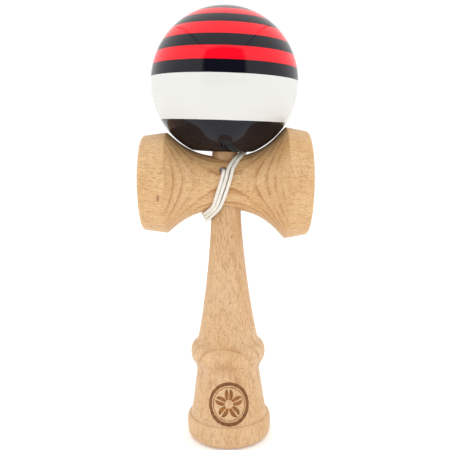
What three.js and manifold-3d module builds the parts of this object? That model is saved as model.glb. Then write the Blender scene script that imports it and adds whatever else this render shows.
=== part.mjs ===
// Kendama: a wooden cup-and-ball toy, standing on its base cup with the ball on its spike.
// The ken (handle, base and spike) is one turning. The sarado (cross piece with two cups) sits
// on the ken's taper. The tama (ball) hangs on a string that runs from the sarado's string hole,
// two and a half times round the sarado's neck, up the back of the tama and into the hole in its
// top, where a bead holds it. Units are millimetres, +Z is up along the ken, +X points to the
// bigger cup and -Y is the front. The origin is the centre of the base where it stands.
import * as THREE from "three";
import { mergeVertices } from "three/addons/utils/BufferGeometryUtils.js";
import Module from "manifold-3d";

// Driving dimensions.
const GAP = 0.3; // left between pieces that touch
const KEN_LENGTH = 156.5;
const SPIKE_TIP_R = 2.4;
const BASE_CUP = { r: 12.6, depth: 4.8 };
const BASE = { flatR: 14.1, edge: 3.6, sideR: 17.8, height: 9.7 };
const GRIP_TOP = { r: 13.3, z: 28.6 };
const RING = { r: 15.75, z: 36.6 };
const RING_FOOT = { r: 14.8, z: 33 };
const RING_SHOULDER = { r: 13.9, z: 41 };
const HANDLE = { bottomR: 12.45, bottomZ: 43.4, topR: 6.37, topZ: 92.2 };
const HANDLE_FLARE = [8.0, 66]; // the corner that its curve is pulled towards
const SPIKE_FOOT = { r: 5.5, z: 119 };

const SARADO_Z = 107.9;
const SARADO_CANT = 0.9; // the taper fit lets the cross piece lie this many degrees off square
const NECK = { r: 11.1, flat: 2 };
const LIP = 1.4; // rounded outer edge of both cups
const BIG_CUP = { rimX: 33.9, rimR: 21.6, creaseX: 24.6, flareX: 20.8, neckArc: 26, wallR: 19.2 };
const SMALL_CUP = { rimX: 34.2, rimR: 19.7, creaseX: 24.2, flareX: 20.5, neckArc: 29, wallR: 17.3 };
const CUP_HOLLOW_R = 30.5; // the hollows match the ball

const TAMA_R = 30.2;
const TAMA_CENTRE = new THREE.Vector3(0.15, -0.04, 148.75);
const TAMA_LEAN = { side: 2.5, forward: 5.3 }; // degrees: how far its top leans to +X and to -Y
const TAMA_FLAT = 27.3; // from its centre down to the flat round the mouth
const MOUTH = { r: 12.2, bevel: 3.6 };
const BORE = { r: 8.5, top: 11.5 };
const CHAMBER = { r: 4.5, bottom: 14.5, top: 20.5 };
const STRING_HOLE = { r: 1.7, bottom: 22.5, edge: 3.3 };

const BEAD = { r: 3.9, at: 16.4, holeR: 1.0 };
const STRING_R = 0.7;
const TIE_HOLE = { x: -1.05, z: SARADO_Z + 5.1, r: 1.4, seatR: 2.2, seatY: -8.4 };
const KNOT = { r: 1.7, half: 0.9 };

const ROUND = 48; // facets round a turning
const ARC_STEPS = 7; // facets along one curve of an outline
const CORD_SIDES = 8;

const WOOD = { color: 0xe0b98c, roughness: 0.55, metalness: 0 };
const LACQUER = { color: 0xe8263a, roughness: 0.12, metalness: 0 };
const PLASTIC = { color: 0x2a2a2c, roughness: 0.4, metalness: 0 };
const CORD = { color: 0xece4d2, roughness: 0.8, metalness: 0 };

const wasm = await Module();
wasm.setup();

const rad = THREE.MathUtils.degToRad;

// One closed mesh facing out: shared vertices merged, slivers on the axis dropped.
function closed(geometry) {
  const bare = geometry.index ? geometry.toNonIndexed() : geometry.clone();
  bare.deleteAttribute("normal");
  bare.deleteAttribute("uv");
  const merged = mergeVertices(bare, 1e-4);
  const corners = merged.index.array;
  const at = merged.attributes.position;
  const [a, b, c] = [new THREE.Vector3(), new THREE.Vector3(), new THREE.Vector3()];
  const kept = [];
  let volume = 0;
  for (let i = 0; i < corners.length; i += 3) {
    const [p, q, r] = [corners[i], corners[i + 1], corners[i + 2]];
    if (p === q || q === r || r === p) continue;
    kept.push(p, q, r);
    a.fromBufferAttribute(at, p);
    b.fromBufferAttribute(at, q);
    c.fromBufferAttribute(at, r);
    volume += a.dot(b.cross(c));
  }
  if (volume < 0) kept.reverse();
  merged.setIndex(kept);
  merged.computeVertexNormals();
  return merged;
}

function solidOf(geometry) {
  const mesh = closed(geometry);
  return new wasm.Manifold(
    new wasm.Mesh({
      numProp: 3,
      vertProperties: new Float32Array(mesh.attributes.position.array),
      triVerts: new Uint32Array(mesh.index.array),
    }),
  );
}

function geometryOf(solid) {
  const mesh = solid.getMesh();
  const geometry = new THREE.BufferGeometry();
  geometry.setAttribute("position", new THREE.BufferAttribute(mesh.vertProperties, 3));
  geometry.setIndex(new THREE.BufferAttribute(mesh.triVerts, 1));
  geometry.computeVertexNormals();
  return geometry;
}

// A turning about +Z from an outline of (radius, height) points.
function turned(outline, facets = ROUND) {
  return closed(new THREE.LatheGeometry(outline, facets).rotateX(Math.PI / 2));
}

// Points of a circular arc in an outline, from one angle to another in degrees.
function arc(centreR, centreZ, radius, from, to, steps = ARC_STEPS) {
  const points = [];
  for (let i = 0; i <= steps; i += 1) {
    const angle = rad(THREE.MathUtils.lerp(from, to, i / steps));
    points.push(new THREE.Vector2(centreR + radius * Math.cos(angle), centreZ + radius * Math.sin(angle)));
  }
  return points;
}

// Points of a smooth bend in an outline, pulled towards a corner.
function bend(from, corner, to, steps = ARC_STEPS) {
  const [a, b, c] = [from, corner, to].map(([r, z]) => new THREE.Vector2(r, z));
  return new THREE.QuadraticBezierCurve(a, b, c).getPoints(steps);
}

function withoutRepeats(points) {
  return points.filter((p, i) => i === 0 || p.distanceTo(points[i - 1]) > 1e-3);
}

// Ken: base cup, base, grip, ring, handle, and the spike that runs through the sarado.
function kenOutline() {
  const hollowR = (BASE_CUP.r ** 2 + BASE_CUP.depth ** 2) / (2 * BASE_CUP.depth);
  const hollowEdge = THREE.MathUtils.radToDeg(Math.asin(BASE_CUP.r / hollowR));
  const baseShoulder = [BASE.sideR - 0.9, BASE.height - 0.2];
  const ringFoot = [RING_FOOT.r, RING_FOOT.z];
  const ringCrest = [RING.r, RING.z];
  const ringShoulder = [RING_SHOULDER.r, RING_SHOULDER.z];
  const handleFoot = [HANDLE.bottomR, HANDLE.bottomZ];
  const tipFoot = [SPIKE_TIP_R, KEN_LENGTH - 1.8];
  return withoutRepeats([
    ...arc(0, BASE_CUP.depth - hollowR, hollowR, 90, 90 - hollowEdge),
    ...arc(BASE.flatR, BASE.edge, BASE.edge, -90, 0),
    ...bend([BASE.sideR, BASE.height - 2.6], [BASE.sideR, BASE.height - 0.6], baseShoulder, 4),
    ...bend([BASE.sideR - 1.6, BASE.height], [15.3, 13.4], [14.5, 20]),
    ...bend([GRIP_TOP.r, GRIP_TOP.z], [GRIP_TOP.r, RING_FOOT.z - 2], ringFoot, 5),
    ...bend(ringFoot, [RING.r, RING.z - 2.2], ringCrest, 4),
    ...bend(ringCrest, [RING.r, RING_SHOULDER.z - 1.3], ringShoulder, 5),
    ...bend(ringShoulder, [12.8, RING_SHOULDER.z + 0.8], handleFoot, 3),
    ...bend(handleFoot, HANDLE_FLARE, [HANDLE.topR, HANDLE.topZ]),
    ...bend([SPIKE_FOOT.r, SPIKE_FOOT.z], [4.4, 138], tipFoot, 5),
    ...bend(tipFoot, [2.1, KEN_LENGTH], [0, KEN_LENGTH], 4),
  ]);
}

// Sarado: a waisted bobbin lying along X, dished at both ends, bored for the ken's taper. Each
// side of its neck is an arc that runs straight on from flareX to the crease behind the cup.
function neckRadius(x) {
  const cup = x > 0 ? BIG_CUP : SMALL_CUP;
  const along = Math.max(0, Math.abs(x) - NECK.flat);
  return NECK.r + cup.neckArc - Math.sqrt(cup.neckArc ** 2 - along ** 2);
}

function cupSide(cup, side) {
  const dishDepth = CUP_HOLLOW_R - Math.sqrt(CUP_HOLLOW_R ** 2 - cup.wallR ** 2);
  const dishEdge = THREE.MathUtils.radToDeg(Math.asin(cup.wallR / CUP_HOLLOW_R));
  const dishCentre = cup.rimX - dishDepth + CUP_HOLLOW_R;
  const flareAngle = Math.asin((cup.flareX - NECK.flat) / cup.neckArc);
  const neckEdge = THREE.MathUtils.radToDeg(flareAngle);
  const creaseR = neckRadius(side * cup.flareX) + (cup.creaseX - cup.flareX) * Math.tan(flareAngle);
  const outline = [
    ...arc(0, dishCentre, CUP_HOLLOW_R, -90, -90 + dishEdge),
    ...arc(cup.rimR - LIP, cup.rimX - LIP, LIP, 90, 0, 4),
    new THREE.Vector2(creaseR, cup.creaseX),
    ...arc(NECK.r + cup.neckArc, NECK.flat, cup.neckArc, 180 - neckEdge, 180, 8),
  ];
  return outline.map((p) => new THREE.Vector2(p.x, side * p.y));
}

function saradoPlaced(geometry) {
  return geometry.rotateY(rad(SARADO_CANT)).translate(0, 0, SARADO_Z);
}

function saradoGeometry() {
  const outline = withoutRepeats([...cupSide(BIG_CUP, 1), ...cupSide(SMALL_CUP, -1).reverse()]);
  const bobbin = saradoPlaced(closed(new THREE.LatheGeometry(outline, ROUND).rotateZ(-Math.PI / 2)));
  const reach = 30;
  const taper = (SPIKE_FOOT.r - HANDLE.topR) / (SPIKE_FOOT.z - HANDLE.topZ);
  const boreR = (z) => SPIKE_FOOT.r + GAP + taper * (z - SPIKE_FOOT.z);
  const [low, high] = [SARADO_Z - reach, SARADO_Z + reach];
  const bore = turned(
    [[0, low], [boreR(low), low], [boreR(high), high], [0, high]].map(([r, z]) => new THREE.Vector2(r, z)),
  );
  const tieHole = new THREE.CylinderGeometry(TIE_HOLE.r, TIE_HOLE.r, reach, 20);
  tieHole.translate(TIE_HOLE.x, -reach / 2, TIE_HOLE.z);
  const knotSeat = new THREE.CylinderGeometry(TIE_HOLE.seatR, TIE_HOLE.seatR, -TIE_HOLE.seatY, 20);
  knotSeat.translate(TIE_HOLE.x, TIE_HOLE.seatY / 2, TIE_HOLE.z);
  return geometryOf(
    solidOf(bobbin).subtract(solidOf(bore)).subtract(solidOf(tieHole)).subtract(solidOf(knotSeat)),
  );
}

// Tama: a ball with a bevelled mouth, a bore for the spike, a chamber for the bead and a string
// hole with a rounded edge at the top. Its outline is one loop, in the ball's own frame.
const holeEdgeR = STRING_HOLE.r + STRING_HOLE.edge;
const holeEdgeZ = Math.sqrt((TAMA_R - STRING_HOLE.edge) ** 2 - holeEdgeR ** 2);
const holeEdgeAngle = THREE.MathUtils.radToDeg(Math.atan2(holeEdgeZ, holeEdgeR));

function tamaOutline() {
  const flatAngle = -THREE.MathUtils.radToDeg(Math.asin(TAMA_FLAT / TAMA_R));
  const loop = withoutRepeats([
    ...arc(0, 0, TAMA_R, flatAngle, holeEdgeAngle, 26),
    ...arc(holeEdgeR, holeEdgeZ, STRING_HOLE.edge, holeEdgeAngle, 180, 5),
    new THREE.Vector2(STRING_HOLE.r, STRING_HOLE.bottom),
    new THREE.Vector2(CHAMBER.r, CHAMBER.top),
    new THREE.Vector2(CHAMBER.r, CHAMBER.bottom),
    new THREE.Vector2(BORE.r, BORE.top),
    new THREE.Vector2(BORE.r, MOUTH.bevel - TAMA_FLAT),
    new THREE.Vector2(MOUTH.r, -TAMA_FLAT),
  ]);
  return [...loop, loop[0].clone()];
}

const tamaAxis = new THREE.Vector3(
  Math.sin(rad(TAMA_LEAN.side)),
  -Math.sin(rad(TAMA_LEAN.forward)),
  Math.sqrt(1 - Math.sin(rad(TAMA_LEAN.side)) ** 2 - Math.sin(rad(TAMA_LEAN.forward)) ** 2),
);
const tamaTurn = new THREE.Quaternion().setFromUnitVectors(new THREE.Vector3(0, 0, 1), tamaAxis);

function inTama(x, y, z) {
  return new THREE.Vector3(x, y, z).applyQuaternion(tamaTurn).add(TAMA_CENTRE);
}

function beadOutline() {
  const open = THREE.MathUtils.radToDeg(Math.acos(BEAD.holeR / BEAD.r));
  const loop = arc(0, 0, BEAD.r, -open, open, 10);
  return [...loop, loop[0].clone()];
}

// String. Round the neck its place is given by the angle from the top, over the front, and by
// its sideways place for the middle turn. The turns lie side by side at the front and the back,
// and pile up under the neck, where they squeeze past the ken.
const LAP = [
  [0, 7.2], [30, 4.6], [45, 2.7], [60, 1.2], [75, 0.4], [90, -0.45], [105, -1.5], [120, -2.5], [140, -4.0],
  [155, -6.3], [170, -8.3], [185, -8.7], [205, -7.8], [230, -5.1], [250, -2.9], [270, -0.6], [290, 1.7],
  [310, 3.9], [340, 6.7],
];
const TURN_PLACES = [-1.55, 0, 1.8];
const WOUND_FROM = 90; // degrees round the neck where the string lies down beside its hole
const WOUND_TO = 990; // and where it leaves for the tama
const OVER_TOP = 50; // degrees each side of the top in which it steps to the next turn
const PILE = { middle: 187, half: 80, squeeze: 0.55, step: 1.5 };
const NECK_GAP = 0.3;
// From the knot in the sarado's bore out of the hole and down onto the neck.
const TAIL = [
  [-0.6, -8.45, 113.0], [-0.6, -9.5, 113.0], [-0.68, -10.7, 112.75], [-0.95, -11.75, 111.7],
  [-1.45, -12.1, 110.0],
];
// From the neck across to the back of the ball.
const CROSSING = [[3.3, 12.4, 111.9], [5.1, 13.6, 115.9], [6.4, 16.0, 119.9], [7.2, 19.2, 123.8]];
// Over the ball: degrees from its mouth, and degrees from straight back towards the big cup.
const OVER_BALL = [
  [46, 21], [58, 20.5], [71, 19.5], [84, 18.5], [97, 17], [110, 15.5], [123, 13.5], [136, 11],
  [149, 8], [160, 5],
];
const BALL_GAP = 0.3;
const HOLE_GAP = 0.45; // where it bends over the edge of the hole in the tama

function turnPlace(angle) {
  const top = Math.round(angle / 360);
  const step = THREE.MathUtils.smoothstep(angle - 360 * top, -OVER_TOP, OVER_TOP);
  const places = TURN_PLACES;
  const before = places[Math.max(0, top - 1)];
  const after = places[Math.min(places.length - 1, top)];
  return THREE.MathUtils.lerp(before, after, step);
}

function woundPoint(angle, middlePlace) {
  const round = angle % 360;
  const turn = Math.floor(angle / 360);
  const away = Math.min(1, Math.abs(round - PILE.middle) / PILE.half);
  const piled = 0.5 + 0.5 * Math.cos(Math.PI * away);
  const x = middlePlace + turnPlace(angle) * (1 - PILE.squeeze * piled);
  const r = neckRadius(x) + STRING_R + NECK_GAP + PILE.step * turn * piled;
  const level = new THREE.Vector3(x, -r * Math.sin(rad(angle)), r * Math.cos(rad(angle)));
  level.applyAxisAngle(new THREE.Vector3(0, 1, 0), rad(SARADO_CANT));
  return level.add(new THREE.Vector3(0, 0, SARADO_Z));
}

function woundRoute() {
  const points = TAIL.map((p) => new THREE.Vector3(...p));
  for (let turn = 0; turn * 360 < WOUND_TO; turn += 1) {
    for (const [angle, place] of LAP) {
      const whole = angle + 360 * turn;
      if (whole >= WOUND_FROM && whole <= WOUND_TO) points.push(woundPoint(whole, place));
    }
  }
  return points;
}

function freeRoute(start) {
  const points = [start, ...CROSSING.map((p) => new THREE.Vector3(...p))];
  const liftR = TAMA_R + STRING_R + BALL_GAP;
  for (const [fromMouth, fromBack] of OVER_BALL) {
    const out = liftR * Math.sin(rad(fromMouth));
    const back = rad(fromBack);
    points.push(inTama(out * Math.sin(back), out * Math.cos(back), -liftR * Math.cos(rad(fromMouth))));
  }
  const bendR = STRING_HOLE.edge + STRING_R + HOLE_GAP;
  for (const angle of [90, 115, 140, 165]) {
    const back = holeEdgeR + bendR * Math.cos(rad(angle));
    points.push(inTama(0, back, holeEdgeZ + bendR * Math.sin(rad(angle))));
  }
  points.push(inTama(0, 0.3, STRING_HOLE.bottom + 1.5));
  points.push(inTama(0, 0, BEAD.at + BEAD.r));
  points.push(inTama(0, 0, BEAD.at - BEAD.r));
  return points;
}

function cord(points, steps) {
  const section = new THREE.Shape();
  section.absarc(0, 0, STRING_R, 0, 2 * Math.PI);
  return closed(
    new THREE.ExtrudeGeometry(section, {
      steps,
      curveSegments: CORD_SIDES / 2,
      extrudePath: new THREE.CatmullRomCurve3(points),
      bevelEnabled: false,
    }),
  );
}

// The free stretch starts a gap's length past the end of the wound one.
const wound = woundRoute();
const woundEnd = wound[wound.length - 1];
const leaving = new THREE.CatmullRomCurve3(wound).getTangent(1).setLength(GAP);
const free = freeRoute(woundEnd.clone().add(leaving));

function part(name, geometry, look) {
  const mesh = new THREE.Mesh(geometry, new THREE.MeshStandardMaterial(look));
  mesh.name = name;
  return mesh;
}

const kendama = new THREE.Group();
kendama.add(part("ken", turned(kenOutline()), WOOD));
kendama.add(part("sarado", saradoGeometry(), WOOD));

const ball = new THREE.Group();
ball.position.copy(TAMA_CENTRE);
ball.quaternion.copy(tamaTurn);
ball.add(part("tama", turned(tamaOutline()), LACQUER));
const bead = part("bead", turned(beadOutline(), 20), PLASTIC);
bead.position.z = BEAD.at;
ball.add(bead);
const beadKnot = part("bead_knot", closed(new THREE.SphereGeometry(KNOT.r, 14, 10)), CORD);
beadKnot.position.z = BEAD.at - BEAD.r - GAP - KNOT.half;
beadKnot.scale.z = KNOT.half / KNOT.r;
ball.add(beadKnot);
kendama.add(ball);

kendama.add(part("string_wound", cord(wound, 60), CORD));
kendama.add(part("string_free", cord(free, 32), CORD));
const tieKnot = part("tie_knot", closed(new THREE.SphereGeometry(KNOT.r, 14, 10)), CORD);
tieKnot.position.set(TIE_HOLE.x, TAIL[0][1] + GAP + KNOT.half, TIE_HOLE.z);
tieKnot.scale.y = KNOT.half / KNOT.r;
kendama.add(tieKnot);

export default kendama;
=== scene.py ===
"""Looks for the kendama: beech ken and sarado, lacquered tama, and the string that ties them.

Lengths are millimetres in the constants and in every material, but those of the camera, the
studio and the string's stated length are metres, and so is every mesh once it is in Blender.
The frame is the CAD model's: origin where the base stands, +Z up along the ken, +X towards the
bigger cup, -Y the front. Each turned piece is built about its own Z axis and then placed.
"""
import math

import bpy
from mathutils import Matrix, Vector


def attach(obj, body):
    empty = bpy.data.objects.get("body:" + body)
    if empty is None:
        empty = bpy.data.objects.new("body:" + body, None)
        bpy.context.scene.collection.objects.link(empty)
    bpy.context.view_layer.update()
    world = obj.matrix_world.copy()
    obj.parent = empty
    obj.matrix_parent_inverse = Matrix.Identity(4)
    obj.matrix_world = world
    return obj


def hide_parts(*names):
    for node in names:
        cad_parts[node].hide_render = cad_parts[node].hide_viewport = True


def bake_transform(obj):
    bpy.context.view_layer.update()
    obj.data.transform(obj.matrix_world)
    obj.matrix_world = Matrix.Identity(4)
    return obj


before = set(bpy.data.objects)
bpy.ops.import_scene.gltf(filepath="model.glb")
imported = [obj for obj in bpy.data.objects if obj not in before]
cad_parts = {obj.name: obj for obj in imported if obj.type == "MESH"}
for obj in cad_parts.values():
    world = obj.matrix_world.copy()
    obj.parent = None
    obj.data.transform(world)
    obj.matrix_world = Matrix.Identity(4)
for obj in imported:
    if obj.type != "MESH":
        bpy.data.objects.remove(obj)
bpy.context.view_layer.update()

MM = 0.001
UP = Vector((0, 0, 1))

# Camera and studio, in metres.
CAMERA_AT = Vector((-0.0010, -0.2215, 0.1092))
CAMERA_LENS = 42.18
CAMERA_PITCH, CAMERA_YAW, CAMERA_ROLL = 4.87, -0.13, -0.85  # degrees; the pitch is downwards
TENT = {"half_width": 0.42, "front": -0.60, "back": 0.60, "height": 0.75, "seam": 0.012, "fade": 0.10}
TENT_GLOW = {"low": 1.19, "high": 1.35, "back": 0.88}  # the last multiplies it towards the back
FLOOR = {"half_size": 6, "tones": [(0.95, 0.95, 0.95), (0.93, 0.93, 0.93)], "glow": 0.14}
TENT_WHITE = (1.0, 0.998, 0.992)
DARK_ROOM = (0.06, 0.06, 0.065, 1.0)
SEAM_TONES = [(0.05, 0.05, 0.05), (0.07, 0.07, 0.07)]

# Ken.
BASE_CUP = {"r": 12.6, "depth": 4.8}
BASE = {"flat_r": 14.1, "edge": 3.6, "side_r": 17.8, "height": 9.7}
GRIP_TOP = (13.3, 28.6)
RING = {"foot": (14.8, 33.0), "crest": (15.75, 36.6), "shoulder": (13.9, 41.0)}
HANDLE_FOOT = (12.45, 43.4)
HANDLE_FLARE = (8.0, 66)
HANDLE_TOP = (6.37, 92.2)
TAPER_MIDDLE = (5.94, 105.6)
SPIKE_FOOT = (5.5, 119.0)
SPIKE_BULGE = (4.4, 138)
SPIKE_TIP = (2.4, 154.7)
SPIKE_END_R = 2.1
KEN_LENGTH = 156.5
BRAND = {"z": 18.6, "r": 8.0, "grip_r": 14.9, "petals": 5, "ring_width": 1.4}
BRAND_SHARES = {"thin_ring": 0.83, "petal": 0.76, "heart": 0.2}  # of the ring's radius

# Sarado.
SARADO_Z = 107.9
SARADO_CANT = 0.9  # degrees about Y
NECK = {"r": 11.1, "flat": 2.0}
LIP = 1.4
BIG_CUP = {
    "rim_x": 33.9, "rim_r": 21.6, "crease_x": 24.6, "flare_x": 20.8, "neck_arc": 26.0, "wall_r": 19.2,
}
SMALL_CUP = {
    "rim_x": 34.2, "rim_r": 19.7, "crease_x": 24.2, "flare_x": 20.5, "neck_arc": 29.0, "wall_r": 17.3,
}
CUP_HOLLOW_R = 30.5
BORE_GAP = 0.3  # round the ken's taper
TIE_HOLE = {"x": -1.05, "z": SARADO_Z + 5.1, "r": 1.4, "seat_r": 2.2, "seat_y": -8.4}

# Tama.
TAMA_R = 30.2
TAMA_CENTRE = Vector((0.15, -0.04, 148.75))
TAMA_LEAN = {"side": 2.5, "forward": 5.3}  # degrees
TAMA_FLAT = 27.3
MOUTH = {"r": 12.2, "bevel": 3.6}
TAMA_BORE = {"r": 8.5, "top": 11.5}
CHAMBER = {"r": 4.5, "bottom": 14.5, "top": 20.5}
STRING_HOLE = {"r": 1.7, "bottom": 22.5, "edge": 3.3}
BLACK = (0.0036, 0.0036, 0.0085)
RED = (0.80, 0.0025, 0.015)
WHITE = (0.67, 0.67, 0.643)
DUST = (0.5, 0.5, 0.5)
STRIPES = [  # where each colour begins, along the tama's axis from its centre, upwards
    (-TAMA_R, BLACK), (-15.27, WHITE), (1.2, BLACK), (6.08, RED), (10.96, BLACK),
    (15.47, RED), (20.18, BLACK), (23.82, RED), (26.5, BLACK),
]

# String, bead and knots.
STRING_R = 0.7
BRAID = {"strands": 4, "pitch": 1.25, "depth": 0.07, "sides": 20, "step": 0.2}
BEAD = {"r": 3.9, "at": 16.4, "hole_r": 1.0}
KNOT = {"r": 1.7, "half": 0.9, "cord_r": 0.45, "gap": 0.3, "steps": 96}
KNOT_BRAID = {"step": 0.25, "depth": 0.04, "sides": 16}
# the shaded gaps' colour is painted shade between the braid's strands; the grime is dirt
CORD = {
    "shaded_gaps": (0.56, 0.50, 0.40), "strands": (0.80, 0.775, 0.71),
    "grime": (0.49, 0.44, 0.35), "threads": (0.82, 0.80, 0.75),
}
BEAD_BLACK = {"dark": (0.022, 0.022, 0.024), "light": (0.045, 0.043, 0.042)}

ROUND = 160  # sides of a turning
SHARP = 40  # degrees; edges sharper than this stay crisp
SANDED = {"radius": 0.35, "angle": 24}  # corners turning by more degrees than this are rounded

# Beech. Each tint multiplies the light or the dark wood's colour.
KEN_BEECH = {"light": (0.692, 0.468, 0.262), "dark": (0.370, 0.176, 0.066)}
SARADO_BEECH = {"light": (0.705, 0.464, 0.236), "dark": (0.365, 0.168, 0.050)}
CORE_BEECH = {"light": (0.64, 0.43, 0.24), "dark": (0.345, 0.180, 0.082)}
HONEY_TINT = (0.93, 0.86, 0.74)
PALE_TINT = (1.03, 1.07, 1.16)
WORN_TINT = (1.12, 1.12, 1.12)
LATE_TINT = (1.0, 0.88, 0.72)
RAY_TINT = (0.66, 0.52, 0.40)
CHAR = (0.150, 0.040, 0.002)
SCORCH = (0.350, 0.120, 0.009)
CHAR_RIM = (0.070, 0.018, 0.002)
# painted shade for the wall of the string hole
HOLE_SHADE = (0.29, 0.095, 0.030)
STREAK = {"at": (6.5, -20.0, -26.0), "half_width": 1.9, "half_length": 0.8, "colour": (0.24, 0.085, 0.030)}


# ---------------------------------------------------------------- camera and studio

def make_camera():
    data = bpy.data.cameras.new("camera")
    data.sensor_width = 36
    data.lens = CAMERA_LENS
    data.clip_start = 0.005
    camera = bpy.data.objects.new("camera", data)
    bpy.context.collection.objects.link(camera)
    turn = (
        Matrix.Rotation(math.radians(CAMERA_YAW), 4, "Z")
        @ Matrix.Rotation(math.radians(90 - CAMERA_PITCH), 4, "X")
        @ Matrix.Rotation(math.radians(CAMERA_ROLL), 4, "Z")
    )
    camera.matrix_world = Matrix.Translation(CAMERA_AT) @ turn
    bpy.context.scene.camera = camera


make_camera()


# ---------------------------------------------------------------- the string's route

LAP = [  # degrees round the neck from its top, over the front, and the middle turn's place along X
    (0, 7.2), (30, 4.6), (45, 2.7), (60, 1.2), (75, 0.4), (90, -0.45), (105, -1.5), (120, -2.5),
    (140, -4.0), (155, -6.3), (170, -8.3), (185, -8.7), (205, -7.8), (230, -5.1), (250, -2.9),
    (270, -0.6), (290, 1.7), (310, 3.9), (340, 6.7),
]
TURN_PLACES = (-1.55, 0.0, 1.8)  # of the first, middle and last turn, along X from the middle one
WOUND_FROM = 90
WOUND_TO = 990
OVER_TOP = 50
PILE = {"middle": 187, "half": 80, "squeeze": 0.55, "step": 1.5}
NECK_GAP = 0.3
TAIL = [
    (-0.6, -8.45, 113.0), (-0.6, -9.5, 113.0), (-0.68, -10.7, 112.75), (-0.95, -11.75, 111.7),
    (-1.45, -12.1, 110.0),
]
CROSSING = [(3.3, 12.4, 111.9), (5.1, 13.6, 115.9), (6.4, 16.0, 119.9), (7.2, 19.2, 123.8)]
OVER_BALL = [  # degrees from the mouth, and from straight back towards the big cup
    (46, 21), (58, 20.5), (71, 19.5), (84, 18.5), (97, 17), (110, 15.5), (123, 13.5), (136, 11),
    (149, 8), (160, 5),
]
BALL_GAP = 0.3
HOLE_GAP = 0.45
HOLE_EDGE_R = STRING_HOLE["r"] + STRING_HOLE["edge"]
HOLE_EDGE_Z = math.sqrt((TAMA_R - STRING_HOLE["edge"]) ** 2 - HOLE_EDGE_R ** 2)

lean_x = math.sin(math.radians(TAMA_LEAN["side"]))
lean_y = -math.sin(math.radians(TAMA_LEAN["forward"]))
tama_axis = Vector((lean_x, lean_y, math.sqrt(1 - lean_x ** 2 - lean_y ** 2)))
tama_turn = UP.rotation_difference(tama_axis)
sarado_turn = Matrix.Rotation(math.radians(SARADO_CANT), 3, "Y")


def in_tama(x, y, z):
    return tama_turn @ Vector((x, y, z)) + TAMA_CENTRE


def smoothstep(value, low, high):
    t = min(1.0, max(0.0, (value - low) / (high - low)))
    return t * t * (3 - 2 * t)


def neck_radius(x):
    arc_r = (BIG_CUP if x > 0 else SMALL_CUP)["neck_arc"]
    along = max(0.0, abs(x) - NECK["flat"])
    return NECK["r"] + arc_r - math.sqrt(arc_r ** 2 - along ** 2)


def turn_place(angle):
    top = math.floor(angle / 360 + 0.5)
    before = TURN_PLACES[max(0, top - 1)]
    after = TURN_PLACES[min(len(TURN_PLACES) - 1, top)]
    return before + (after - before) * smoothstep(angle - 360 * top, -OVER_TOP, OVER_TOP)


def wound_point(angle, middle_place):
    away = min(1.0, abs(angle % 360 - PILE["middle"]) / PILE["half"])
    piled = 0.5 + 0.5 * math.cos(math.pi * away)
    x = middle_place + turn_place(angle) * (1 - PILE["squeeze"] * piled)
    r = neck_radius(x) + STRING_R + NECK_GAP + PILE["step"] * (angle // 360) * piled
    level = Vector((x, -r * math.sin(math.radians(angle)), r * math.cos(math.radians(angle))))
    return sarado_turn @ level + Vector((0, 0, SARADO_Z))


def string_route():
    """From the knot in the sarado, round its neck, over the tama and down to the bead."""
    points = [Vector(p) for p in TAIL]
    for turn in range(math.ceil(WOUND_TO / 360)):
        for angle, place in LAP:
            if WOUND_FROM <= angle + 360 * turn <= WOUND_TO:
                points.append(wound_point(angle + 360 * turn, place))
    points += [Vector(p) for p in CROSSING]
    lift = TAMA_R + STRING_R + BALL_GAP
    for from_mouth, from_back in OVER_BALL:
        out = lift * math.sin(math.radians(from_mouth))
        back = math.radians(from_back)
        down = lift * math.cos(math.radians(from_mouth))
        points.append(in_tama(out * math.sin(back), out * math.cos(back), -down))
    bend_r = STRING_HOLE["edge"] + STRING_R + HOLE_GAP
    for angle in (90, 115, 140, 165):
        back = HOLE_EDGE_R + bend_r * math.cos(math.radians(angle))
        points.append(in_tama(0, back, HOLE_EDGE_Z + bend_r * math.sin(math.radians(angle))))
    points.append(in_tama(0, 0.3, STRING_HOLE["bottom"] + 1.5))
    points.append(in_tama(0, 0, BEAD["at"] + BEAD["r"]))
    points.append(in_tama(0, 0, BEAD["at"] - BEAD["r"]))
    return points


def smooth_curve(points, step):
    """A centripetal Catmull-Rom curve through the points, sampled at an even step."""
    first = points[0] * 2 - points[1]
    last = points[-1] * 2 - points[-2]
    ends = [first, *points, last]
    fine = []
    for a, b, c, d in zip(ends, ends[1:], ends[2:], ends[3:]):
        before, between, after = [math.sqrt((q - p).length) for p, q in ((a, b), (b, c), (c, d))]
        leave = ((b - a) / before - (c - a) / (before + between) + (c - b) / between) * between
        arrive = ((c - b) / between - (d - b) / (between + after) + (d - c) / after) * between
        for i in range(24):
            t = i / 24
            fine.append(
                b * (2 * t ** 3 - 3 * t ** 2 + 1) + leave * (t ** 3 - 2 * t ** 2 + t)
                + c * (3 * t ** 2 - 2 * t ** 3) + arrive * (t ** 3 - t ** 2)
            )
    fine.append(points[-1])
    return evenly(fine, step)


def evenly(points, step):
    runs = [0.0]
    for p, q in zip(points, points[1:]):
        runs.append(runs[-1] + (q - p).length)
    count = round(runs[-1] / step)
    spaced = []
    i = 0
    for k in range(count + 1):
        target = runs[-1] * k / count
        while i < len(runs) - 2 and runs[i + 1] < target:
            i += 1
        share = (target - runs[i]) / (runs[i + 1] - runs[i])
        spaced.append(points[i].lerp(points[i + 1], share))
    return spaced


# ---------------------------------------------------------------- meshes

def new_object(name, vertices, faces):
    """A smooth mesh from points in millimetres, with its sharp edges kept crisp."""
    mesh = bpy.data.meshes.new(name)
    mesh.from_pydata([Vector(v) * MM for v in vertices], [], faces)
    mesh.update()
    obj = bpy.data.objects.new(name, mesh)
    bpy.context.collection.objects.link(obj)
    shade(mesh)
    return obj


def shade(mesh):
    mesh.polygons.foreach_set("use_smooth", [True] * len(mesh.polygons))
    mesh.set_sharp_from_angle(angle=math.radians(SHARP))


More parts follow.
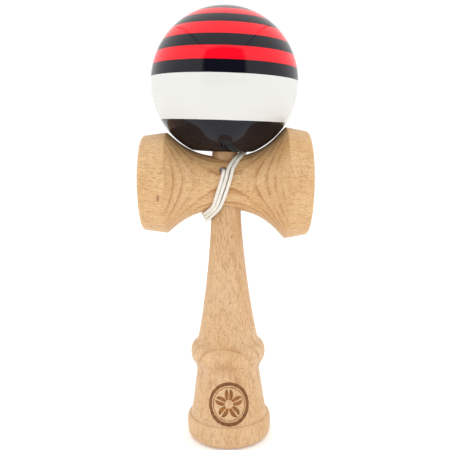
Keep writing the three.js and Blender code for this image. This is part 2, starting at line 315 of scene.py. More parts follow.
def set_numbers(obj, name, values):
    """Stores one number for each vertex, for the material to read."""
    attribute = obj.data.attributes.new(name, "FLOAT", "POINT")
    attribute.data.foreach_set("value", values)


def apply_modifiers(obj):
    evaluated = obj.evaluated_get(bpy.context.evaluated_depsgraph_get())
    finished = bpy.data.meshes.new_from_object(evaluated)
    obj.modifiers.clear()
    obj.data = finished
    shade(finished)


def arc(centre_r, centre_z, radius, start, end, steps=16):
    angles = [math.radians(start + (end - start) * i / steps) for i in range(steps + 1)]
    return [(centre_r + radius * math.cos(a), centre_z + radius * math.sin(a)) for a in angles]


def bend(start, corner, end, steps=12):
    points = []
    for i in range(steps + 1):
        t = i / steps
        weights = ((1 - t) ** 2, 2 * t * (1 - t), t * t)
        points.append(tuple(sum(w * p[k] for w, p in zip(weights, (start, corner, end))) for k in (0, 1)))
    return points


def without_repeats(points):
    kept = [points[0]]
    for point in points[1:]:
        if math.dist(point, kept[-1]) > 1e-3:
            kept.append(point)
    return kept


def eased(points, closed=False):
    """Rounds each corner of an outline that turns by more than the sanded angle."""
    soft = []
    count = len(points)
    for i, point in enumerate(points):
        if not closed and i in (0, count - 1):
            soft.append(point)
            continue
        here = Vector(point)
        before = Vector(points[i - 1]) - here
        after = Vector(points[(i + 1) % count]) - here
        turn = 180 - math.degrees(before.angle(after))
        if turn < SANDED["angle"]:
            soft.append(point)
            continue
        start = here + before.normalized() * min(SANDED["radius"], before.length / 2)
        end = here + after.normalized() * min(SANDED["radius"], after.length / 2)
        soft += bend(tuple(start), point, tuple(end), 4)
    return soft


def turned(name, outline, closed=False, sides=ROUND):
    """A turning about Z. A point on the axis is one vertex; a closed outline makes a loop."""
    vertices, rings = [], []
    for r, z in outline:
        if r < 1e-4:
            rings.append([len(vertices)] * sides)
            vertices.append((0, 0, z))
            continue
        rings.append(list(range(len(vertices), len(vertices) + sides)))
        for k in range(sides):
            angle = 2 * math.pi * k / sides
            vertices.append((r * math.cos(angle), r * math.sin(angle), z))
    faces = []
    following = rings[1:] + ([rings[0]] if closed else [])
    for low, high in zip(rings, following):
        for k in range(sides):
            n = (k + 1) % sides
            corners = [low[k], low[n], high[n], high[k]]
            faces.append([c for i, c in enumerate(corners) if c not in corners[:i]])
    return new_object(name, vertices, faces)


def facing_out(obj):
    """Turns the faces outwards, whichever way the outline ran."""
    volume = 0.0
    points = [v.co for v in obj.data.vertices]
    for face in obj.data.polygons:
        ring = [points[i] for i in face.vertices]
        for p, q in zip(ring[1:], ring[2:]):
            volume += ring[0].dot(p.cross(q))
    if volume < 0:
        obj.data.flip_normals()
    return obj


def tube(name, path, sides, radius_at):
    """A tube along a path, capped at both ends, carried along without twisting."""
    vertices, faces = [], []
    tangent = (path[1] - path[0]).normalized()
    side = tangent.orthogonal().normalized()
    for i, centre in enumerate(path):
        ahead = path[min(i + 1, len(path) - 1)] - path[max(i - 1, 0)]
        side = (side - side.project(ahead)).normalized()
        across = ahead.normalized().cross(side)
        for k in range(sides):
            angle = 2 * math.pi * k / sides
            r = radius_at(i, k / sides)
            vertices.append(centre + (side * math.cos(angle) + across * math.sin(angle)) * r)
    for i in range(len(path) - 1):
        for k in range(sides):
            n = (k + 1) % sides
            faces.append((i * sides + k, i * sides + n, (i + 1) * sides + n, (i + 1) * sides + k))
    faces.append(tuple(reversed(range(sides))))
    faces.append(tuple(range(len(vertices) - sides, len(vertices))))
    return new_object(name, vertices, faces)


# ---------------------------------------------------------------- string

def braid_height(along, around):
    """0 in the gaps of an over-and-under braid, 1 on the middle of a strand."""
    lean = along / BRAID["pitch"]
    p = BRAID["strands"] * around + lean
    q = BRAID["strands"] * around - lean
    over = p if (math.floor(p) + math.floor(q)) % 2 == 0 else q
    return math.sin(math.pi * (over % 1.0)) ** 0.7


def make_string():
    path = smooth_curve(string_route(), BRAID["step"])
    heights = []

    def radius_at(i, around):
        heights.append(braid_height(i * BRAID["step"], around))
        return STRING_R - BRAID["depth"] * (1 - heights[-1])

    string = tube("string", path, BRAID["sides"], radius_at)
    set_numbers(string, "relief", heights)
    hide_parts("string_wound", "string_free")
    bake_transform(string)
    return string


def make_knot(name, centre, axis, body):
    """An overhand knot, pulled tight and flat across the string."""
    path = []
    turn = UP.rotation_difference(axis)
    spread = (KNOT["r"] - KNOT["cord_r"]) / 3
    for i in range(KNOT["steps"] + 1):
        t = 2 * math.pi * i / KNOT["steps"]
        x = (math.sin(t) + 2 * math.sin(2 * t)) * spread
        y = (math.cos(t) - 2 * math.cos(2 * t)) * spread
        z = -math.sin(3 * t) * (KNOT["half"] - KNOT["cord_r"])
        path.append(centre + turn @ Vector((x, y, z)))
    heights = []

    def radius_at(i, around):
        heights.append(braid_height(i * KNOT_BRAID["step"], around))
        return KNOT["cord_r"] - KNOT_BRAID["depth"] * (1 - heights[-1])

    knot = tube(name + "_cord", path, KNOT_BRAID["sides"], radius_at)
    set_numbers(knot, "relief", heights)
    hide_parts(name)
    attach(knot, body)
    return knot


string = make_string()
knot_in_sarado = Vector((TIE_HOLE["x"], TAIL[0][1] + KNOT["gap"] + KNOT["half"], TIE_HOLE["z"]))
tie_knot = make_knot("tie_knot", knot_in_sarado, Vector((0, 1, 0)), "sarado")
under_bead = BEAD["at"] - BEAD["r"] - KNOT["gap"] - KNOT["half"]
bead_knot = make_knot("bead_knot", in_tama(0, 0, under_bead), tama_axis, "tether")


# ---------------------------------------------------------------- ken

def make_ken():
    hollow_r = (BASE_CUP["r"] ** 2 + BASE_CUP["depth"] ** 2) / (2 * BASE_CUP["depth"])
    hollow_edge = math.degrees(math.asin(BASE_CUP["r"] / hollow_r))
    side_r, height = BASE["side_r"], BASE["height"]
    shoulder = [(side_r, height - 2.6), (side_r, height - 0.6), (side_r - 0.9, height - 0.2)]
    grip_foot = [(16.2, height), (15.3, 13.4), (14.5, 20)]
    under_ring = (GRIP_TOP[0], 31)
    below_crest = (RING["crest"][0], 34.4)
    above_crest = (RING["crest"][0], 39.7)
    over_ring = (12.8, 41.8)
    outline = [
        *arc(0, BASE_CUP["depth"] - hollow_r, hollow_r, 90, 90 - hollow_edge, 20),
        *arc(BASE["flat_r"], BASE["edge"], BASE["edge"], -90, 0),
        *bend(*shoulder),
        *bend(*grip_foot, 16),
        *bend(GRIP_TOP, under_ring, RING["foot"]),
        *bend(RING["foot"], below_crest, RING["crest"]),
        *bend(RING["crest"], above_crest, RING["shoulder"]),
        *bend(RING["shoulder"], over_ring, HANDLE_FOOT, 8),
        *bend(HANDLE_FOOT, HANDLE_FLARE, HANDLE_TOP, 40),
        *bend(HANDLE_TOP, TAPER_MIDDLE, SPIKE_FOOT, 4),
        *bend(SPIKE_FOOT, SPIKE_BULGE, SPIKE_TIP, 14),
        *bend(SPIKE_TIP, (SPIKE_END_R, KEN_LENGTH), (0, KEN_LENGTH), 10),
    ]
    ken = facing_out(turned("ken_turning", eased(without_repeats(outline))))
    wear_along(ken, [(0.2, 1.6), (height, 1.0), (RING["crest"][1], 2.2), (KEN_LENGTH, 3.0)])
    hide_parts("ken")
    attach(ken, "ken")
    return ken


def wear_along(obj, places):
    """Handling wear: 1 at each place along the turning's axis, fading out over its width."""
    values = []
    for vertex in obj.data.vertices:
        z = vertex.co.z / MM
        values.append(max(math.exp(-((z - at) / width) ** 2) for at, width in places))
    set_numbers(obj, "wear", values)


# ---------------------------------------------------------------- sarado

def cup_side(cup, side):
    dish_depth = CUP_HOLLOW_R - math.sqrt(CUP_HOLLOW_R ** 2 - cup["wall_r"] ** 2)
    dish_edge = math.degrees(math.asin(cup["wall_r"] / CUP_HOLLOW_R))
    flare = math.asin((cup["flare_x"] - NECK["flat"]) / cup["neck_arc"])
    flare_end = 180 - math.degrees(flare)
    straight = cup["crease_x"] - cup["flare_x"]
    crease_r = neck_radius(side * cup["flare_x"]) + straight * math.tan(flare)
    outline = [
        *arc(0, cup["rim_x"] - dish_depth + CUP_HOLLOW_R, CUP_HOLLOW_R, -90, -90 + dish_edge, 24),
        *arc(cup["rim_r"] - LIP, cup["rim_x"] - LIP, LIP, 90, 0, 10),
        (crease_r, cup["crease_x"]),
        *arc(NECK["r"] + cup["neck_arc"], NECK["flat"], cup["neck_arc"], flare_end, 180, 28),
    ]
    return [(r, side * z) for r, z in outline]


def cut(obj, cutter):
    modifier = obj.modifiers.new("cut", "BOOLEAN")
    modifier.operation = "DIFFERENCE"
    modifier.solver = "EXACT"
    modifier.object = cutter
    apply_modifiers(obj)
    bpy.data.objects.remove(cutter)


def hole_along_y(r, reach):
    drill = facing_out(turned("drill", [(0, 0), (r, 0), (r, reach), (0, reach)], sides=40))
    turn = Matrix.Rotation(math.radians(90), 4, "X")
    place = Matrix.Translation(Vector((TIE_HOLE["x"], 0, TIE_HOLE["z"])) * MM)
    drill.matrix_world = place @ turn
    return drill


def make_sarado():
    outline = without_repeats(cup_side(BIG_CUP, 1) + list(reversed(cup_side(SMALL_CUP, -1))))
    sarado = facing_out(turned("sarado_turning", eased(outline)))
    rim_wear = 1.1
    wear_along(sarado, [(BIG_CUP["rim_x"], rim_wear), (-SMALL_CUP["rim_x"], rim_wear)])
    lay_down = Matrix.Rotation(math.radians(90 + SARADO_CANT), 4, "Y")
    sarado.matrix_world = Matrix.Translation((0, 0, SARADO_Z * MM)) @ lay_down
    reach = 30  # well past the neck on both sides
    slope = (SPIKE_FOOT[0] - HANDLE_TOP[0]) / (SPIKE_FOOT[1] - HANDLE_TOP[1])
    low, high = SARADO_Z - reach, SARADO_Z + reach
    wide, narrow = [SPIKE_FOOT[0] + BORE_GAP + slope * (z - SPIKE_FOOT[1]) for z in (low, high)]
    taper = facing_out(turned("reamer", [(0, low), (wide, low), (narrow, high), (0, high)], sides=96))
    cut(sarado, taper)
    cut(sarado, hole_along_y(TIE_HOLE["r"], reach))
    cut(sarado, hole_along_y(TIE_HOLE["seat_r"], -TIE_HOLE["seat_y"]))
    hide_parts("sarado")
    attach(sarado, "sarado")
    return sarado


# ---------------------------------------------------------------- tama and bead

def place_in_tama(obj, height=0.0):
    centre = in_tama(0, 0, height) * MM
    obj.matrix_world = Matrix.Translation(centre) @ tama_turn.to_matrix().to_4x4()


def make_tama():
    flat_angle = -math.degrees(math.asin(TAMA_FLAT / TAMA_R))
    edge_angle = math.degrees(math.atan2(HOLE_EDGE_Z, HOLE_EDGE_R))
    outside = [
        *arc(0, 0, TAMA_R, flat_angle, edge_angle, 90),
        *arc(HOLE_EDGE_R, HOLE_EDGE_Z, STRING_HOLE["edge"], edge_angle, 180, 14),
    ]
    inside = [
        (STRING_HOLE["r"], STRING_HOLE["bottom"]),
        (CHAMBER["r"], CHAMBER["top"]),
        (CHAMBER["r"], CHAMBER["bottom"]),
        (TAMA_BORE["r"], TAMA_BORE["top"]),
        (TAMA_BORE["r"], MOUTH["bevel"] - TAMA_FLAT),
        (MOUTH["r"], -TAMA_FLAT),
    ]
    outline = eased(without_repeats(outside + inside), closed=True)
    tama = facing_out(turned("tama_ball", outline, closed=True))
    place_in_tama(tama)
    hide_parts("tama")
    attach(tama, "tama")
    return tama


def bare_inside(tama, wood):
    """Gives the bore and the bevel of the mouth bare wood, inside the lacquered outside."""
    tama.data.materials.append(wood)
    for face in tama.data.polygons:
        centre = face.center / MM
        r = math.hypot(centre.x, centre.y)
        in_mouth = r < MOUTH["r"] - 0.4 and centre.z < 0
        in_bore = r < TAMA_BORE["r"] + 0.5 and centre.length < TAMA_R - STRING_HOLE["edge"] - 1
        if in_mouth or in_bore:
            face.material_index = 1


def make_bead():
    opening = math.degrees(math.acos(BEAD["hole_r"] / BEAD["r"]))
    outline = eased(arc(0, 0, BEAD["r"], -opening, opening, 28), closed=True)
    bead = facing_out(turned("bead_turning", outline, closed=True, sides=48))
    place_in_tama(bead, BEAD["at"])
    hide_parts("bead")
    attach(bead, "tether")
    return bead


ken = make_ken()
sarado = make_sarado()
tama = make_tama()
bead = make_bead()


# ---------------------------------------------------------------- materials

class Nodes:
    """A material's node tree, built with short calls. Values may be numbers or sockets."""

    def __init__(self, tree):
        self.tree = tree
        tree.nodes.clear()

    def add(self, kind, inputs=None, **settings):
        node = self.tree.nodes.new(kind)
        for key, value in settings.items():
            setattr(node, key, value)
        for key, value in (inputs or {}).items():
            self.feed(node.inputs[key], value)
        return node

    def feed(self, socket, value):
        if isinstance(value, bpy.types.NodeSocket):
            self.tree.links.new(value, socket)
        elif isinstance(value, tuple) and len(value) == 3 and socket.type == "RGBA":
            socket.default_value = (*value, 1.0)
        else:
            socket.default_value = value

    def math(self, operation, a, b=0.0, c=0.0):
        return self.add("ShaderNodeMath", {0: a, 1: b, 2: c}, operation=operation).outputs[0]

    def multiplied(self, *factors):
        product = factors[0]
        for factor in factors[1:]:
            product = self.math("MULTIPLY", product, factor)
        return product

    def squares(self, *values):
        """The sum of two squares."""
        return self.math("ADD", *[self.math("POWER", value, 2.0) for value in values])

    def step(self, value, low, high):
        """0 below low and 1 above high, smooth between; low may be the larger."""
        inputs = {"Value": value, "From Min": min(low, high), "From Max": max(low, high)}
        if low > high:
            inputs.update({"To Min": 1.0, "To Max": 0.0})
        return self.add("ShaderNodeMapRange", inputs, interpolation_type="SMOOTHSTEP").outputs[0]

    def mix(self, factor, a, b, blend="MIX"):
        node = self.add("ShaderNodeMix", data_type="RGBA", blend_type=blend)
        self.feed(node.inputs[0], factor)
        self.feed(node.inputs[6], a)
        self.feed(node.inputs[7], b)
        return node.outputs[2]

    def position(self):
        """The point in the piece's own frame, in millimetres."""
        coordinates = self.add("ShaderNodeTexCoord").outputs["Object"]
        inputs = {0: coordinates, "Scale": 1 / MM}
        return self.add("ShaderNodeVectorMath", inputs, operation="SCALE").outputs[0]

    def split(self, vector):
        return self.add("ShaderNodeSeparateXYZ", {0: vector}).outputs

    def stretched(self, position, across, along, shift=(0, 0, 0)):
        """Texture space in which one unit is `across` mm over the grain and `along` mm with it."""
        scale = (1 / across, 1 / across, 1 / along)
        inputs = {"Vector": position, "Scale": scale, "Location": shift}
        return self.add("ShaderNodeMapping", inputs).outputs[0]

    def noise(self, position, scale=1.0, detail=3.0, roughness=0.5):
        inputs = {"Vector": position, "Scale": scale, "Detail": detail, "Roughness": roughness}
        return self.add("ShaderNodeTexNoise", inputs).outputs["Fac"]

    def number(self, name):
        return self.add("ShaderNodeAttribute", attribute_name=name).outputs["Fac"]

    def bump(self, height, depth):
        """A bump from a height of 0 to 1 that stands for `depth` millimetres."""
        inputs = {"Height": height, "Distance": depth * MM, "Strength": 1.0}
        return self.add("ShaderNodeBump", inputs).outputs[0]

    def surface(self, inputs):
        shader = self.add("ShaderNodeBsdfPrincipled", inputs)
        self.add("ShaderNodeOutputMaterial", {"Surface": shader.outputs[0]})


def new_material(name):
    material = bpy.data.materials.new(name)
    material.use_nodes = True
    return material, Nodes(material.node_tree)


def tinted(colour, tint):
    return tuple(c * t for c, t in zip(colour, tint))


def flecks(n, position, across, along, shift):
    """The short dark rays of beech: thin spindles along the grain, in most of the cells."""
    share, size = 0.80, 0.38
    space = n.stretched(position, across, along, shift)
    cells = n.add("ShaderNodeTexVoronoi", {"Vector": space, "Scale": 1.0, "Randomness": 1.0})
    pick, weight, _ = n.split(cells.outputs["Color"])
    chosen = n.step(pick, share + 0.05, share - 0.05)
    spindle = n.step(cells.outputs["Distance"], size, size * 0.5)
    strength = n.math("MULTIPLY_ADD", weight, 0.85, 0.15)
    return n.multiplied(chosen, spindle, strength)


def growth_rings(n, position, pith, spacing, figure):
    """Rings round a pith line beside the piece, drawn out along the grain and slightly uneven.

    They show best over one stretch of the grain, given as its centre, its half length and how
    steeply the rings slant there. Gives how dark the late wood is, and a slow swing of tone."""
    centre, half, slant = figure
    fade, elsewhere = 4, 0.2
    drift = n.noise(n.stretched(position, 30, 90), detail=1.0)
    x, y, z = n.split(position)
    along = n.math("SUBTRACT", z, centre)
    slanted = n.math("MULTIPLY", n.step(along, -half, half), 2 * half * slant)
    out_x = n.math("MULTIPLY_ADD", drift, 2.0, n.math("SUBTRACT", x, pith[0]))
    out_y = n.math("MULTIPLY_ADD", drift, 2.0, n.math("SUBTRACT", y, pith[1] + half * slant))
    out_y = n.math("ADD", out_y, slanted)
    distance = n.math("SQRT", n.squares(out_x, out_y))
    turns = n.math("DIVIDE", distance, spacing)
    phase = n.math("FRACT", turns)
    darkening = n.math("POWER", n.step(phase, 0.25, 0.97), 2.6)
    ring_end = n.step(phase, 1.0, 0.965)
    clear = n.step(n.math("ABSOLUTE", along), half + fade, half)
    patchy = n.step(n.noise(n.stretched(position, 5, 16, (2, 6, 4)), detail=2.0), 0.36, 0.62)
    shown = [n.math("MULTIPLY_ADD", mask, 1 - elsewhere, elsewhere) for mask in (clear, patchy)]
    late = n.multiplied(darkening, ring_end, *shown)
    swing = n.math("SINE", n.math("MULTIPLY", turns, 2.3))
    return late, swing


def brand_mask(n, position):
    """A burned ring with a five-petalled blossom in it, on the front of the grip."""
    x, y, z = n.split(position)
    angle = n.math("ARCTAN2", x, n.math("MULTIPLY", y, -1.0))
    u = n.math("MULTIPLY", angle, BRAND["grip_r"])
    v = n.math("SUBTRACT", z, BRAND["z"])
    ragged = n.math("MULTIPLY_ADD", n.noise(position, scale=0.9, detail=4.0, roughness=0.7), 0.9, -0.45)
    r = n.math("ADD", n.math("SQRT", n.squares(u, v)), ragged)
    petal_angle = n.math("MULTIPLY", n.math("ARCTAN2", u, v), BRAND["petals"] / 2)
    lobes = n.math("ABSOLUTE", n.math("COSINE", petal_angle))
    petal_r = n.math("MULTIPLY", n.math("POWER", lobes, 0.45), BRAND["r"] * BRAND_SHARES["petal"])

    def line(distance, half_width):
        return n.step(n.math("ABSOLUTE", distance), half_width + 0.14, half_width - 0.1)

    ring = line(n.math("SUBTRACT", r, BRAND["r"]), BRAND["ring_width"] / 2)
    thin_ring = line(n.math("SUBTRACT", r, BRAND["r"] * BRAND_SHARES["thin_ring"]), 0.14)
    from_petal = n.math("SUBTRACT", r, petal_r)
    petals = n.step(from_petal, 0.15, -0.2)
    heart_r = BRAND["r"] * BRAND_SHARES["heart"]
    heart = n.step(r, heart_r, heart_r + 0.3)
    vein = n.step(n.math("ABSOLUTE", n.math("SINE", petal_angle)), 0.1, 0.22)
    filled = n.multiplied(heart, vein, petals)
    mark = n.math("MAXIMUM", n.math("MAXIMUM", ring, thin_ring), filled)
    rim = n.math("MAXIMUM", line(from_petal, 0.28), n.math("MULTIPLY", ring, 0.6))
    return mark, n.math("MULTIPLY", rim, mark)


def waved(n, position, amount):
    """Lets the grain wander a little sideways as it runs."""
    sideways = {}
    for axis, shift in enumerate([(5, 1, 8), (1, 7, 2)]):
        drift = n.noise(n.stretched(position, 6, 9, shift), detail=2.0)
        sideways[axis] = n.math("MULTIPLY", drift, amount)
    offset = n.add("ShaderNodeCombineXYZ", sideways).outputs[0]
    return n.add("ShaderNodeVectorMath", {0: position, 1: offset}).outputs[0]


def streak_mask(n, grain):
    """One small dark spindle on the face turned to the front."""
    x, y, z = [n.math("SUBTRACT", axis, at) for axis, at in zip(n.split(grain), STREAK["at"])]
    across = n.math("DIVIDE", x, STREAK["half_width"])
    along = n.math("DIVIDE", z, STREAK["half_length"])
    return n.math("MULTIPLY", n.step(n.squares(across, along), 1.0, 0.2), n.step(y, 2.5, 1.5))


def hole_shade_mask(n, across, along, hole):
    """Painted shade on the wall of the string hole, drilled along Y, from its places across and along the
    grain.
    """
    off = n.squares(n.math("SUBTRACT", across, hole[0]), n.math("SUBTRACT", along, hole[1]))
    return n.step(off, (TIE_HOLE["r"] + 0.25) ** 2, (TIE_HOLE["r"] + 0.05) ** 2)


def beech(name, wood, pith, spacing, figure, ring_depth, ray_length, branded=False, hole=None):
    """Sanded beech with its grain along Z: rings, fibres, rays, end grain and handling wear, and painted
    shade in the hollows and, where given, on the string hole's wall.
    """
    material, n = new_material(name)
    light, dark = wood["light"], wood["dark"]
    position = n.position()
    grain = waved(n, position, 1.4)
    late, swing = growth_rings(n, position, pith, spacing, figure)
    fibres = n.noise(n.stretched(grain, 0.22, 5.5), detail=4.0, roughness=0.7)
    strands = n.noise(n.stretched(grain, 0.75, 9.0, (3, 3, 3)), detail=3.0, roughness=0.6)
    mottle = n.noise(n.stretched(position, 10, 24), detail=3.0)
    long_rays = flecks(n, grain, 0.44, ray_length, (3.1, 7.7, 1.3))
    short_rays = flecks(n, grain, 0.33, ray_length * 0.65, (9.4, 2.6, 5.8))
    rays = n.math("MAXIMUM", n.math("MULTIPLY", long_rays, 0.9), n.math("MULTIPLY", short_rays, 0.62))
    x, y, z = n.split(position)
    facing_x, facing_y, facing_z = n.split(n.add("ShaderNodeTexCoord").outputs["Normal"])
    end_grain = n.step(n.math("ABSOLUTE", facing_z), 0.72, 0.97)
    outward = n.math("ADD", n.math("MULTIPLY", x, facing_x), n.math("MULTIPLY", y, facing_y))
    # painted shade: surfaces that face in towards the turning's axis, as in the cup hollows and the bores,
    # are darkened
    hollow_shade = n.step(outward, -1.5, -10.0)
    wear = n.step(n.noise(position, scale=0.35, detail=4.0), 0.35, 0.7)
    worn = n.math("MULTIPLY", n.number("wear"), wear)

    colour = n.mix(n.step(mottle, 0.28, 0.75), light, tinted(light, HONEY_TINT))
    layers = [  # each a mask from 0 to 1, how strongly it colours, and its colour
        (n.math("MULTIPLY_ADD", swing, 0.5, 0.58), 0.24, tinted(light, PALE_TINT)),
        (n.step(fibres, 0.45, 0.25), 0.60, tinted(light, PALE_TINT)),
        (n.step(fibres, 0.42, 0.72), 0.55, dark),
        (n.step(strands, 0.46, 0.70), 0.36, dark),
        (late, ring_depth, tinted(dark, LATE_TINT)),
        (rays, 0.88, tinted(dark, RAY_TINT)),
        (end_grain, 0.35, dark),
        (hollow_shade, 0.35, dark),
    ]
    if hole:
        layers.append((streak_mask(n, grain), 0.6, STREAK["colour"]))
        # painted shade on the wall of the string hole and its rim
        layers.append((hole_shade_mask(n, x, z, hole), 0.8, HOLE_SHADE))
    layers.append((worn, 0.3, tinted(light, WORN_TINT)))
    for mask, strength, tone in layers:
        colour = n.mix(n.math("MULTIPLY", mask, strength), colour, tone)
    roughness = n.math("MULTIPLY_ADD", fibres, 0.16, 0.42)
    roughness = n.math("MULTIPLY_ADD", rays, 0.15, roughness)
    roughness = n.math("MULTIPLY_ADD", worn, -0.1, roughness)
    height = n.math("MULTIPLY_ADD", fibres, 0.35, n.math("MULTIPLY_ADD", strands, 0.15, 0.4))
    height = n.math("MULTIPLY_ADD", rays, -0.3, height)
    if branded:
        mark, rim = brand_mask(n, position)
        char = n.noise(n.stretched(position, 0.5, 2.5, (4.0, 1.0, 2.0)), detail=3.0)
        burn = n.mix(n.step(char, 0.3, 0.72), CHAR, SCORCH)
        burn = n.mix(n.math("MULTIPLY", rim, 0.75), burn, CHAR_RIM)
        colour = n.mix(n.math("MULTIPLY", mark, 0.95), colour, burn)
        roughness = n.math("MULTIPLY_ADD", mark, 0.12, roughness)
        height = n.math("MULTIPLY_ADD", mark, -1.6, height)
    n.surface({
        "Base Color": colour, "Roughness": roughness, "Normal": n.bump(height, 0.06),
        "Specular IOR Level": 0.42, "Coat Weight": 0.06, "Coat Roughness": 0.35,
    })
    return material


def lacquer():
    """Glossy paint in turned bands, with dust nibs, a soft ripple and faint polishing marks."""
    material, n = new_material("lacquer_bands")
    position = n.position()
    wobble = n.math("MULTIPLY_ADD", n.noise(position, scale=0.25, detail=2.0), 0.12, -0.06)
    z = n.math("ADD", n.split(position)[2], wobble)
    up_the_ball = n.math("DIVIDE", n.math("ADD", z, TAMA_R), 2 * TAMA_R)
    ramp = n.add("ShaderNodeValToRGB", {"Fac": up_the_ball})
    ramp.color_ramp.interpolation = "CONSTANT"
    stops = ramp.color_ramp.elements
    stops.remove(stops[-1])
    stops[0].color = (*STRIPES[0][1], 1.0)
    for start, paint in STRIPES[1:]:
        stops.new((start + TAMA_R) / (2 * TAMA_R)).color = (*paint, 1.0)
    cells = n.add("ShaderNodeTexVoronoi", {"Vector": position, "Scale": 0.22, "Randomness": 1.0})
    speck = n.step(cells.outputs["Distance"], 0.055, 0.03)
    chosen = n.step(n.split(cells.outputs["Color"])[1], 0.55, 0.6)
    nib = n.math("MULTIPLY", speck, chosen)
    tone = n.math("MULTIPLY_ADD", n.noise(position, scale=0.06, detail=2.0), 0.06, 0.97)
    tint = n.add("ShaderNodeCombineXYZ", {0: tone, 1: tone, 2: tone}).outputs[0]
    colour = n.mix(1.0, ramp.outputs["Color"], tint, "MULTIPLY")
    colour = n.mix(n.math("MULTIPLY", nib, 0.16), colour, DUST)
    scuffs = n.noise(n.stretched(position, 0.5, 7.0), detail=4.0, roughness=0.7)
    roughness = n.math("MULTIPLY_ADD", n.step(scuffs, 0.55, 0.85), 0.08, 0.06)
    ripple = n.noise(position, scale=0.16, detail=2.0)
    height = n.math("MULTIPLY_ADD", nib, 0.25, ripple)
    n.surface({
        "Base Color": colour, "Roughness": roughness, "Normal": n.bump(height, 0.03), "IOR": 1.37,
    })
    return material


def braided_cord():
    material, n = new_material("braided_cord")
    position = n.position()
    relief = n.number("relief")
    grime = n.noise(position, scale=0.35, detail=3.0)
    threads = n.noise(position, scale=7.0, detail=3.0, roughness=0.7)
    # painted shade: the braid's gaps, low in its relief, are darker than its strands
    colour = n.mix(n.step(relief, 0.1, 0.75), CORD["shaded_gaps"], CORD["strands"])
    colour = n.mix(n.math("MULTIPLY", n.step(grime, 0.5, 0.8), 0.25), colour, CORD["grime"])
    colour = n.mix(n.math("MULTIPLY", n.step(threads, 0.55, 0.8), 0.18), colour, CORD["threads"])
    roughness = n.math("MULTIPLY_ADD", threads, 0.2, 0.62)
    n.surface({
        "Base Color": colour, "Roughness": roughness, "Normal": n.bump(threads, 0.05),
        "Sheen Weight": 0.2, "Sheen Roughness": 0.5, "Specular IOR Level": 0.3,
    })
    return material


def moulded_bead():
    material, n = new_material("moulded_bead")
    position = n.position()
    cloud = n.noise(position, scale=0.5, detail=3.0)
    grain = n.noise(position, scale=5.0, detail=2.0)
    colour = n.mix(n.step(cloud, 0.3, 0.75), BEAD_BLACK["dark"], BEAD_BLACK["light"])
    roughness = n.math("MULTIPLY_ADD", grain, 0.2, 0.3)
    n.surface({"Base Color": colour, "Roughness": roughness, "Normal": n.bump(grain, 0.02)})
    return material


def plain(name, light, dark, scale, glow=0.0):
    """A matt surface with a slight unevenness, for the studio."""
    material, n = new_material(name)
    cloud = n.noise(n.position(), scale=scale, detail=2.0)
    colour = n.mix(n.step(cloud, 0.3, 0.7), light, dark)
    n.surface({
        "Base Color": colour, "Roughness": 0.9, "Specular IOR Level": 0.1,
        "Emission Color": (1.0, 1.0, 1.0, 1.0), "Emission Strength": glow,
    })
    return material


ken.data.materials.append(beech(
    "ken_beech", KEN_BEECH, pith=(7, 60.25), spacing=3.4,
    figure=(33.5, 7, 0.35), ring_depth=0.50, ray_length=3.6, branded=True,
))
sarado.data.materials.clear()
sarado.data.materials.append(beech(
    "sarado_beech", SARADO_BEECH, pith=(4, 60), spacing=2.4,
    figure=(0, 21, 0), ring_depth=0.75, ray_length=3.0, hole=(SARADO_Z - TIE_HOLE["z"], TIE_HOLE["x"]),
))
tama.data.materials.append(lacquer())
bare_inside(tama, beech(
    "tama_core_beech", CORE_BEECH, pith=(40, 12), spacing=3.0,
    figure=(0, 40, 0), ring_depth=0.4, ray_length=2.2,
))
bead.data.materials.append(moulded_bead())
cord_material = braided_cord()
for piece in (string, tie_knot, bead_knot):
    piece.data.materials.append(cord_material)


# ---------------------------------------------------------------- studio

def panel(name, corners):
    """A flat four-cornered card, in metres."""
    obj = new_object(name, [Vector(c) / MM for c in corners], [(0, 1, 2, 3)])
    return obj


def soft_edged(name, colour, half_sizes):
    """A dark card that fades out towards its edges, given its half width and half height."""
    material, n = new_material(name)
    x, _, z = n.split(n.position())
    fade = TENT["fade"] / MM
    inside = 1.0
    for along, half in zip((x, z), half_sizes):
        edge = n.math("SUBTRACT", half / MM, n.math("ABSOLUTE", along))
        inside = n.math("MULTIPLY", inside, n.step(edge, 0.0, fade))
    cloth = n.add("ShaderNodeBsdfDiffuse", {"Color": colour})
    clear = n.add("ShaderNodeBsdfTransparent")
    mixed = n.add("ShaderNodeMixShader", {0: inside, 1: clear.outputs[0], 2: cloth.outputs[0]})
    n.add("ShaderNodeOutputMaterial", {"Surface": mixed.outputs[0]})
    return material


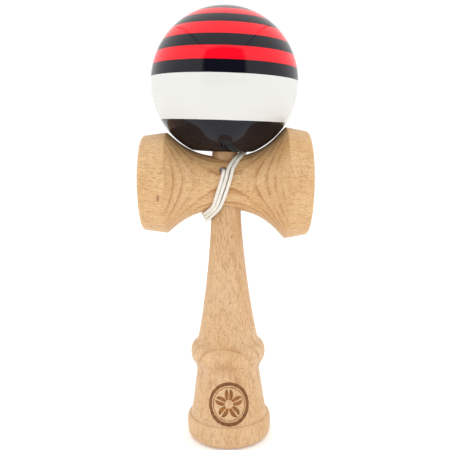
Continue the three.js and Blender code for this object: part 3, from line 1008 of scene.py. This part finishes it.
def make_studio():
    """A white light tent over a pale floor. Its dark parts show only in reflections.

    They are the room, seen through the open front, and the seams of the roof and the back."""
    reach = FLOOR["half_size"]
    floor = panel("floor", [(-reach, -reach, 0), (reach, -reach, 0), (reach, reach, 0), (-reach, reach, 0)])
    floor.data.materials.append(plain("pale_floor", *FLOOR["tones"], 0.004, glow=FLOOR["glow"]))
    w, front, back, h, seam = [TENT[k] for k in ("half_width", "front", "back", "height", "seam")]
    room = panel("dark_room", [(-w, 0, -h), (w, 0, -h), (w, 0, h), (-w, 0, h)])
    room.location.y = front
    room.data.materials.append(soft_edged("dark_room_cloth", DARK_ROOM, (w, h)))
    cards = [room]
    seam_cloth = plain("seam_cloth", *SEAM_TONES, 0.01)
    for side in (-1, 1):
        x, inner = side * w, side * (w - seam)
        seams = {
            "roof_seam": [(x, front, h), (inner, front, h), (inner, back, h), (x, back, h)],
            "corner_seam": [(x, back, 0), (inner, back, 0), (inner, back, h), (x, back, h)],
        }
        for name, corners in seams.items():
            card = panel(name, corners)
            card.data.materials.append(seam_cloth)
            cards.append(card)
    for card in cards:
        card.visible_camera = False
        card.visible_diffuse = False
        card.visible_shadow = False


def light_world():
    world = bpy.data.worlds.new("light_tent")
    world.use_nodes = True
    n = Nodes(world.node_tree)
    _, along_y, height = n.split(n.add("ShaderNodeTexCoord").outputs["Generated"])
    glow = n.add("ShaderNodeMapRange", {
        "Value": height, "From Min": -0.2, "From Max": 1.0,
        "To Min": TENT_GLOW["low"], "To Max": TENT_GLOW["high"],
    }).outputs[0]
    dimming = n.add("ShaderNodeMapRange", {
        "Value": along_y, "From Min": 0.2, "From Max": 0.9, "To Min": 1.0, "To Max": TENT_GLOW["back"],
    }).outputs[0]
    strength = n.math("MULTIPLY", glow, dimming)
    background = n.add("ShaderNodeBackground", {"Color": TENT_WHITE, "Strength": strength})
    n.add("ShaderNodeOutputWorld", {"Surface": background.outputs[0]})
    bpy.context.scene.world = world
    bpy.context.scene.view_settings.view_transform = "Standard"
    bpy.context.scene.view_settings.look = "None"


make_studio()
light_world()
